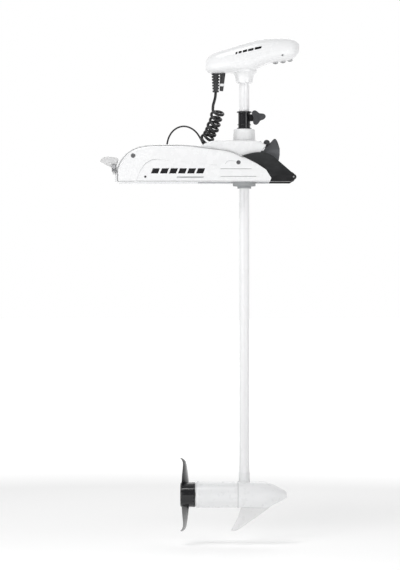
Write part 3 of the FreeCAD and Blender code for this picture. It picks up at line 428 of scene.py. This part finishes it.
def tube(name, points, radius, body, slot_name, sides=14):
    """Round capped tube along points, with no twist between its rings."""
    bm = bmesh.new()
    rings = []
    first, second = frame_axes(points[1] - points[0])
    for index, spot in enumerate(points):
        before = points[max(index - 1, 0)]
        after = points[min(index + 1, len(points) - 1)]
        along = (after - before).normalized()
        first = (first - along * first.dot(along)).normalized()
        second = along.cross(first)
        ring = []
        for side in range(sides):
            angle = 2 * math.pi * side / sides
            ring.append(bm.verts.new(spot + (first * math.cos(angle) + second * math.sin(angle)) * radius))
        rings.append(ring)
    for low, high in zip(rings, rings[1:]):
        for side in range(sides):
            after = (side + 1) % sides
            bm.faces.new((low[side], low[after], high[after], high[side]))
    bm.faces.new(list(reversed(rings[0])))
    bm.faces.new(rings[-1])
    return new_object(name, bm, body, slot_name)


def spline_points(controls, resolution):
    """Points along the smooth line that has these as its control points."""
    curve = bpy.data.curves.new("route", "CURVE")
    curve.dimensions = "3D"
    spline = curve.splines.new("NURBS")
    spline.points.add(len(controls) - 1)
    for point, spot in zip(spline.points, controls):
        point.co = (*spot, 1.0)
    spline.order_u = 3
    spline.use_endpoint_u = True
    spline.resolution_u = resolution
    holder = bpy.data.objects.new("route", curve)
    bpy.context.scene.collection.objects.link(holder)
    bpy.context.view_layer.update()
    mesh = bpy.data.meshes.new_from_object(holder)
    points = [vertex.co.copy() for vertex in mesh.vertices]
    bpy.data.objects.remove(holder)
    bpy.data.meshes.remove(mesh)
    bpy.data.curves.remove(curve)
    return points


def path_length(points):
    return sum((b - a).length for a, b in zip(points, points[1:]))


# ---- camera ----
FRAME_FILL = 1.156           # picture height over the object's height
CAMERA_FAR = 8.0             # metres in front of the starboard side
SENSOR_WIDTH = 36.0


def make_camera():
    low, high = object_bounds()
    centre = (low + high) / 2
    data = bpy.data.cameras.new("camera")
    data.sensor_width = SENSOR_WIDTH
    data.lens = SENSOR_WIDTH * CAMERA_FAR / (FRAME_FILL * (high.z - low.z))
    data.clip_end = 60.0
    camera = bpy.data.objects.new("camera", data)
    bpy.context.scene.collection.objects.link(camera)
    camera.location = centre + Vector((0, -CAMERA_FAR, 0))
    camera.rotation_euler = (math.radians(90), 0, 0)
    bpy.context.scene.camera = camera


# ---- cords ----
CORD_D = 10.0 * MM
LOOP_D = 6.0 * MM
COIL_MEAN_R = 19.0           # millimetres, from the coil's axis to the wire's middle
COIL_LEAN = math.radians(35)  # each turn leans this much, its near side lower
COIL_TURNS = 6.5
POINTS_PER_TURN = 14
UPPER_SHARE = 0.62           # share of the wire's points in the upper tube
LEAD_ROUTE = [(-99, 0, 314), (-100, 0, 299), (-103.5, -0.5, 284), (-108, -0.5, 270)]
COIL_ROUTE = [(-89, 0, 256), (-97, 0.5, 226), (-107.5, 2, 195), (-120, 3.5, 166), (-136, 4, 143)]
TAIL_ROUTE = [(-118, 8, 127), (-121, 8, 113), (-113, 7, 102), (-97, 7, 95), (-79, 6.5, 93.2), (-64, 6, 92.4),
              (-51, 6, 92)]
LOOP_ROUTE = [(-269, 64, 134), (-267, 64, 149), (-261, 63.5, 166), (-249, 62, 184), (-230, 59.5, 197),
              (-208, 56.5, 201), (-187, 53, 195), (-169, 49.5, 182), (-157, 47, 166), (-148.5, 45.5, 149),
              (-140, 44.9, 131.5), (-131.5, 44.9, 117), (-122.5, 45.3, 104), (-114.5, 46.1, 91),
              (-107.5, 46.6, 78), (-105, 46.7, 66)]


def point_along(points, share):
    """The point at a share of a polyline's length, and its direction there."""
    target = share * path_length(points)
    for a, b in zip(points, points[1:]):
        step = (b - a).length
        if target <= step or b is points[-1]:
            return a.lerp(b, min(target / step, 1.0)), (b - a).normalized()
        target -= step


def coil_turns():
    """Helix about the coil's own bent axis, a little tighter and less even lower down."""
    axis = spline_points([about_shaft(*spot) for spot in COIL_ROUTE], 12)
    across = Vector((0, 1, 0))
    count = int(COIL_TURNS * POINTS_PER_TURN)
    points = []
    for index in range(count + 1):
        share = index / count
        eased = share * (1.16 - 0.16 * share)
        middle, along = point_along(axis, 0.03 + 0.94 * eased)
        side = along.cross(across).normalized()
        near = along * math.sin(COIL_LEAN) - across * math.cos(COIL_LEAN)
        angle = 2 * math.pi * COIL_TURNS * share
        uneven = 0.05 * math.sin(0.37 * angle + 0.6) + 0.02 * math.sin(2.3 * angle)
        radius = COIL_MEAN_R * MM * (1 + uneven)
        points.append(middle + (side * -math.cos(angle) + near * math.sin(angle)) * radius)
    return points


def make_curly_cord():
    """One wire from the head to the housing, as two tubes that meet on the drive sleeve's body."""
    controls = [about_shaft(*spot) for spot in LEAD_ROUTE] + coil_turns()
    controls += [about_shaft(*spot) for spot in TAIL_ROUTE]
    points = spline_points(controls, 4)
    split = int(len(points) * UPPER_SHARE) + 1
    top, bottom = points[:split + 1], points[split:]
    upper = tube("curly_cord_upper", top, CORD_D / 2, None, "cord_jacket")
    lower = tube("curly_cord_lower", bottom, CORD_D / 2, None, "cord_jacket")
    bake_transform(upper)
    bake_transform(lower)
    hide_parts("coil_cord_lead", "coil_cord_coil")
    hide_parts("coil_cord_tail")


def make_loop_cable():
    """The thin service loop from the port cover to the carriage."""
    points = spline_points([about_shaft(*spot) for spot in LOOP_ROUTE], 8)
    loop = tube("loop_cable_skin", points, LOOP_D / 2, None, "cord_jacket")
    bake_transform(loop)
    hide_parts("loop_cable")


# ---- small pieces on the mount ----
# millimetres about the steering axis
COVER_FACE = 94.0            # half width of the covers, to their flat outer face
PANEL_FACE = 92.8            # and to the sunk panel's face
CREASE = [(-372, 4), (-367, 20), (-358, 38), (-348, 53), (-336, 65), (-320, 74), (-303, 77), (-250, 73.5),
          (-200, 69), (-150, 63.5), (-95, 57)]
SHORT_CREASE = [(-67, 61), (-62, 68), (-54, 71.5), (-44, 71.5), (-31, 70)]
RUB_STRIP = [(-438, 1.4), (-300, 1.4), (-100, 1.4), (84, 1.4)]
GROOVES = (((-83, 44), (23, 44)), ((-83, 18), (39, 18)))
SCREW_SPOTS = ((-383.0, 89.0, 7.3), (-21.5, 66.0, 6.6))
PLUG_SPOT = (-341.0, 17.0, 4.0)
SIDES = (("starboard", -1), ("port", 1))
TREAD_SPOTS = ((-484, 82.6), (-476, 84.9), (-468, 85.4), (-460, 84.8))
LID_TOP = 141.0
LID_SCREW_SPOTS = ((-37, -35), (-37, 35), (54, -35), (54, 35))
SPRING_TURNS = 6
SPRING_STEPS = 24            # points on each turn


def bead(name, spots, y, radius):
    """Thin grey bead on the mount, through (x, z) points on a plane of constant y; along the creases and in the
    grooves it is painted shadow.
    """
    return tube(name, [about_shaft(x, y, z) for x, z in spots], radius * MM, "mount", "mid_grey_plastic", 8)


def cover_lines():
    """Grey beads as painted shadow along the crease and in the grooves, and the rub strip along the bottom edge of
    each cover.
    """
    for side_name, side in SIDES:
        # painted shadow: grey beads along the crease and in the grooves
        bead(f"{side_name}_cover_crease_painted_shadow", CREASE, side * PANEL_FACE, 0.62)
        bead(f"{side_name}_cover_short_crease_painted_shadow", SHORT_CREASE, side * COVER_FACE, 0.5)
        for index, groove in enumerate(GROOVES):
            bead(f"{side_name}_cover_groove_{index}", groove, side * PANEL_FACE, 0.75)
        bead(f"{side_name}_rub_strip", RUB_STRIP, side * (COVER_FACE - 0.6), 1.35)


def cover_fasteners():
    """Dark washers under the cover screws, and the drain plugs."""
    for side_name, side in SIDES:
        outward = Vector((0, side, 0))
        for index, (x, z, r) in enumerate(SCREW_SPOTS):
            hole, rim = r * 0.9, r + 0.6
            profile = [(0, hole), (0, rim), (0.5, rim), (0.9, rim - 0.3), (0.9, hole)]
            spot = about_shaft(x, side * (COVER_FACE - 1.5), z)
            name = f"{side_name}_screw_washer_{index}"
            lathe(name, spot, outward, profile, "mount", "black_rubber", close=True)
        x, z, r = PLUG_SPOT
        profile = [(-3.0, 0), (-3.0, r * 0.9), (0, r * 0.95), (0.6, r * 0.8), (0.9, r * 0.35), (0.5, 0)]
        spot = about_shaft(x, side * (PANEL_FACE + 0.1), z)
        lathe(f"{side_name}_drain_plug", spot, outward, profile, "mount", "black_rubber")


def pedal_treads():
    """Rubber bars set in the pedal's grooves."""
    for index, (x, z) in enumerate(TREAD_SPOTS):
        ends = [about_shaft(x, y, z) for y in (-77.2, -60, -41.8)]
        tube(f"pedal_tread_{index}", ends, 1.15 * MM, "pedal", "black_rubber", 10)


def latch_spring():
    """Coil spring round the latch rod, held at its bow end and squeezed by the rod's collar."""
    low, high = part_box("latch_return_spring")
    middle = (low + high) / 2
    wire = 0.8 * MM
    radius = (high.z - low.z) / 2 - wire
    start, end = low.x + wire, high.x - wire
    points = []
    for index in range(SPRING_TURNS * SPRING_STEPS + 1):
        angle = 2 * math.pi * index / SPRING_STEPS
        x = start + (end - start) * index / (SPRING_TURNS * SPRING_STEPS)
        points.append(Vector((x, middle.y + radius * math.cos(angle), middle.z + radius * math.sin(angle))))
    spring = tube("latch_spring_coil", points, wire, "mount", "steel", 8)
    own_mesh(spring)
    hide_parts("latch_return_spring")


def lid_screws():
    """Four pan heads on the steering housing's lid."""
    profile = [(-1.0, 0), (-1.0, 3.6), (0.6, 3.6), (1.5, 2.9), (1.9, 1.6), (1.2, 1.4), (1.1, 0)]
    for index, (x, y) in enumerate(LID_SCREW_SPOTS):
        spot = about_shaft(x, y, LID_TOP)
        lathe(f"lid_screw_{index}", spot, Vector((0, 0, 1)), profile, "steering_housing", "steel", 24)


# ---- small pieces on the head, the cords' ends and the lower unit ----
HEAD_BAR_LENGTHS = (7, 11, 15, 19, 24)
COVER_BAR_LENGTHS = (24,) * 6
BAR_SLANT = math.radians(-22)
HEAD_BAR_HEADING = math.radians(13)
INK_LIFT = 0.25              # the print stands this far off the surface
INK_DEPTH = 0.4              # and reaches this far into it
SEAL_SIDES = 12
CONNECTOR_TOP = (-74.5, 0, 380)
CONNECTOR_LEAN = math.radians(4.5)
CONNECTOR_RING_DROP = 46.0   # from the connector's top to the foot of its ring


def shell_surface(names):
    """Finds the outer surface of some nodes at (x, z), looked at from one side."""
    trees = [BVHTree.FromPolygons([v.co for v in NODES[name].data.vertices],
                                  [list(p.vertices) for p in NODES[name].data.polygons]) for name in names]

    def surface(x, z, side):
        start = about_shaft(x, side * 150, z)
        hits = [tree.ray_cast(start, Vector((0, -side, 0))) for tree in trees]
        hits = [hit for hit in hits if hit[0] is not None]
        spot, normal = min(hits, key=lambda hit: (hit[0] - start).length)[:2]
        return spot, normal if normal.y * side > 0 else -normal
    return surface


def flat_surface(y):
    """The same for a flat face at a half width of y."""
    def surface(x, z, side):
        return about_shaft(x, side * y, z), Vector((0, side, 0))
    return surface


def add_patch(bm, corners, surface, side, columns=8, rows=4):
    """Thin closed patch on a surface, over four (x, z) corners."""
    a, b, c, d = [Vector(corner) for corner in corners]
    layers = {}
    for layer, offset in (("out", INK_LIFT * MM), ("in", -INK_DEPTH * MM)):
        for i in range(columns + 1):
            for j in range(rows + 1):
                u, v = i / columns, j / rows
                flat = a.lerp(b, u).lerp(d.lerp(c, u), v)
                spot, normal = surface(flat.x, flat.y, side)
                layers[layer, i, j] = bm.verts.new(spot + normal * offset)
    for layer in ("out", "in"):
        for i in range(columns):
            for j in range(rows):
                around = ((i, j), (i + 1, j), (i + 1, j + 1), (i, j + 1))
                bm.faces.new([layers[layer, k, m] for k, m in around])
    rim = [(i, 0) for i in range(columns)] + [(columns, j) for j in range(rows)]
    rim += [(i, rows) for i in range(columns, 0, -1)] + [(0, j) for j in range(rows, 0, -1)]
    for (i, j), (k, m) in zip(rim, rim[1:] + rim[:1]):
        bm.faces.new([layers["out", i, j], layers["out", k, m], layers["in", k, m], layers["in", i, j]])


def slanted_bars(name, start, heading, height, lengths, gap, surface, side, body, slot_name):
    """A plain row of slanted bars, printed along a line."""
    along = Vector((math.cos(heading), math.sin(heading)))
    rise = heading + BAR_SLANT
    up = Vector((-math.sin(rise), math.cos(rise))) * height
    here = Vector(start)
    bm = bmesh.new()
    for length in lengths:
        there = here + along * length
        add_patch(bm, (here, there, there + up, here + up), surface, side)
        here = there + along * gap
    return new_object(name, bm, body, slot_name)


def printed_marks():
    """Generic striping where a maker would print its marks."""
    head = shell_surface(("head_upper_shell", "head_lower_shell"))
    panel = flat_surface(PANEL_FACE)
    for side_name, side in SIDES:
        slanted_bars(f"{side_name}_head_stripes", (-32, 440), HEAD_BAR_HEADING, 8.5, HEAD_BAR_LENGTHS, 4,
                     head, side, "motor_shaft", "black_gloss")
        slanted_bars(f"{side_name}_cover_stripes", (-322, 28), 0.0, 19, COVER_BAR_LENGTHS, 7,
                     panel, side, "mount", "black_gloss")
        slanted_bars(f"{side_name}_cover_pinstripe", (-234, 13), 0.0, 5, (92,), 0,
                     panel, side, "mount", "mid_grey_plastic")


def head_trim():
    """Bezels round the three buttons and the status light."""
    profile = [(0, 9.4), (0, 11.2), (-0.9, 11.4), (-1.6, 10.6), (-1.3, 9.4)]
    for name in ("rear_button", "middle_button", "front_button"):
        low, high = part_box(name)
        spot = Vector(((low.x + high.x) / 2, 0, low.z + 5.5 * MM))
        lathe(name + "_bezel", spot, Vector((0, 0, 1)), profile, "motor_shaft", "light_grey_plastic",
              close=True)
    low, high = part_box("status_lens")
    spot = Vector(((low.x + high.x) / 2, low.y, (low.z + high.z) / 2))
    profile = [(0.6, 2.5), (0.6, 3.5), (-0.5, 3.6), (-0.9, 3.0), (-0.7, 2.5)]
    lathe("status_light_bezel", spot, Vector((0, 1, 0)), profile, "motor_shaft", "mid_grey_plastic", 32, True)


def connector_ring():
    """Light-grey coupling ring low on the accessory connector."""
    axis = Vector((math.sin(CONNECTOR_LEAN), 0, math.cos(CONNECTOR_LEAN)))
    spot = about_shaft(*CONNECTOR_TOP) - axis * CONNECTOR_RING_DROP * MM
    profile = [(0, 6.4), (0, 8.6), (1, 9.2), (8, 9.2), (9, 8.6), (9, 6.4)]
    lathe("connector_ring", spot, axis, profile, "motor_shaft", "light_grey_plastic", 14, True)


def motor_rings():
    """O-ring seams of the lower unit."""
    rear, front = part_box("centre_housing")
    seams = (("front_motor_seal", front.x, 45.75, 0.75, "mid_grey_plastic"),
             ("rear_motor_seal", rear.x, 45.6, 0.5, "light_grey_plastic"))
    for name, x, radius, thick, slot_name in seams:
        profile = []
        for index in range(SEAL_SIDES):
            angle = 2 * math.pi * index / SEAL_SIDES
            profile.append((thick * math.sin(angle), radius + thick * math.cos(angle)))
        lathe(name, Vector((x, 0, MOTOR_Z)), Vector((1, 0, 0)), profile, "motor_shaft", slot_name, 96, True)


# ---- room ----
SURROUND_FRONT = 0.30        # brightness of the surround on the starboard side
SURROUND_BACK = 1.0          # and on the port side
FLOOR_DROP = 0.05            # metres below the object
FLOOR_REACH = 60.0
FLOOR_GLOW = (0.17, 0.62)    # glow of the floor under the object, and far off
LIGHTS = (                   # name, place from the object's middle, size, power
    ("key", (-1.0, -2.4, 3.4), 1.8, 66.0),
    ("fill", (2.4, -3.0, 0.4), 1.6, 20.0),
    ("low", (-0.9, -2.3, -0.1), 1.0, 9.0),
    ("strip", (-2.3, -1.9, 0.3), 0.35, 7.0),
    ("rim", (0.6, 3.4, 2.6), 2.0, 14.0))


def make_floor(floor_z):
    """Large pale floor that glows a little, as a light table does; near the object it is greyer and glows less, a
    painted shade round it.
    """
    bm = bmesh.new()
    corners = ((-1, -1), (1, -1), (1, 1), (-1, 1))
    bm.faces.new([bm.verts.new((x * FLOOR_REACH, y * FLOOR_REACH, floor_z)) for x, y in corners])
    mesh = bpy.data.meshes.new("floor")
    bm.to_mesh(mesh)
    bm.free()
    floor = bpy.data.objects.new("floor", mesh)
    bpy.context.scene.collection.objects.link(floor)
    m = Mat("pale_floor")
    m.shader.inputs["Emission Color"].default_value = (1.0, 1.0, 1.0, 1.0)
    reach = m.node("ShaderNodeVectorMath", operation="LENGTH")
    m.link(m.coord.outputs["Object"], reach.inputs[0])
    far = m.spread(reach.outputs["Value"], 0.0, 1.0, 1.3, 6.0)
    glow = m.spread(far, *FLOOR_GLOW)
    m.link(glow, m.shader.inputs["Emission Strength"])
    # painted shade: near the object the floor is greyer and its glow weaker
    near_grey_painted_shade = m.mix(m.spread(m.noise(0.8, 3.0), 0.0, 1.0), (0.88, 0.88, 0.88), (0.85, 0.85, 0.85))
    colour = m.mix(far, near_grey_painted_shade, (0.95, 0.95, 0.95))
    floor.data.materials.append(m.finish(colour, 0.9, specular=0.1))


def make_surround():
    """Plain surround, white behind the port side and pale grey on the starboard side."""
    world = bpy.data.worlds.new("studio")
    bpy.context.scene.world = world
    world.use_nodes = True
    tree = world.node_tree
    direction = tree.nodes.new("ShaderNodeTexCoord")
    split = tree.nodes.new("ShaderNodeSeparateXYZ")
    fade = tree.nodes.new("ShaderNodeMapRange")
    fade.interpolation_type = "SMOOTHSTEP"
    fade.inputs["From Min"].default_value = -0.3
    fade.inputs["From Max"].default_value = 0.6
    fade.inputs["To Min"].default_value = SURROUND_FRONT
    fade.inputs["To Max"].default_value = SURROUND_BACK
    tree.links.new(direction.outputs["Generated"], split.inputs["Vector"])
    tree.links.new(split.outputs["Y"], fade.inputs["Value"])
    tree.links.new(fade.outputs["Result"], tree.nodes["Background"].inputs["Strength"])
    tree.nodes["Background"].inputs["Color"].default_value = (1.0, 1.0, 1.0, 1.0)


def make_lights(centre):
    for name, offset, size, power in LIGHTS:
        light = bpy.data.lights.new(name, "AREA")
        light.shape = "SQUARE"
        light.size = size
        light.energy = power
        lamp = bpy.data.objects.new(name, light)
        bpy.context.scene.collection.objects.link(lamp)
        lamp.location = centre + Vector(offset)
        lamp.rotation_mode = "QUATERNION"
        lamp.rotation_quaternion = (-Vector(offset)).to_track_quat("-Z", "Y")


def make_room():
    low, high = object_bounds()
    make_floor(low.z - FLOOR_DROP)
    make_surround()
    make_lights((low + high) / 2)
    bpy.context.scene.view_settings.view_transform = "Standard"


make_camera()
make_curly_cord()
make_loop_cable()
paint_frame()
cover_lines()
cover_fasteners()
pedal_treads()
latch_spring()
lid_screws()
printed_marks()
head_trim()
connector_ring()
motor_rings()
make_room()
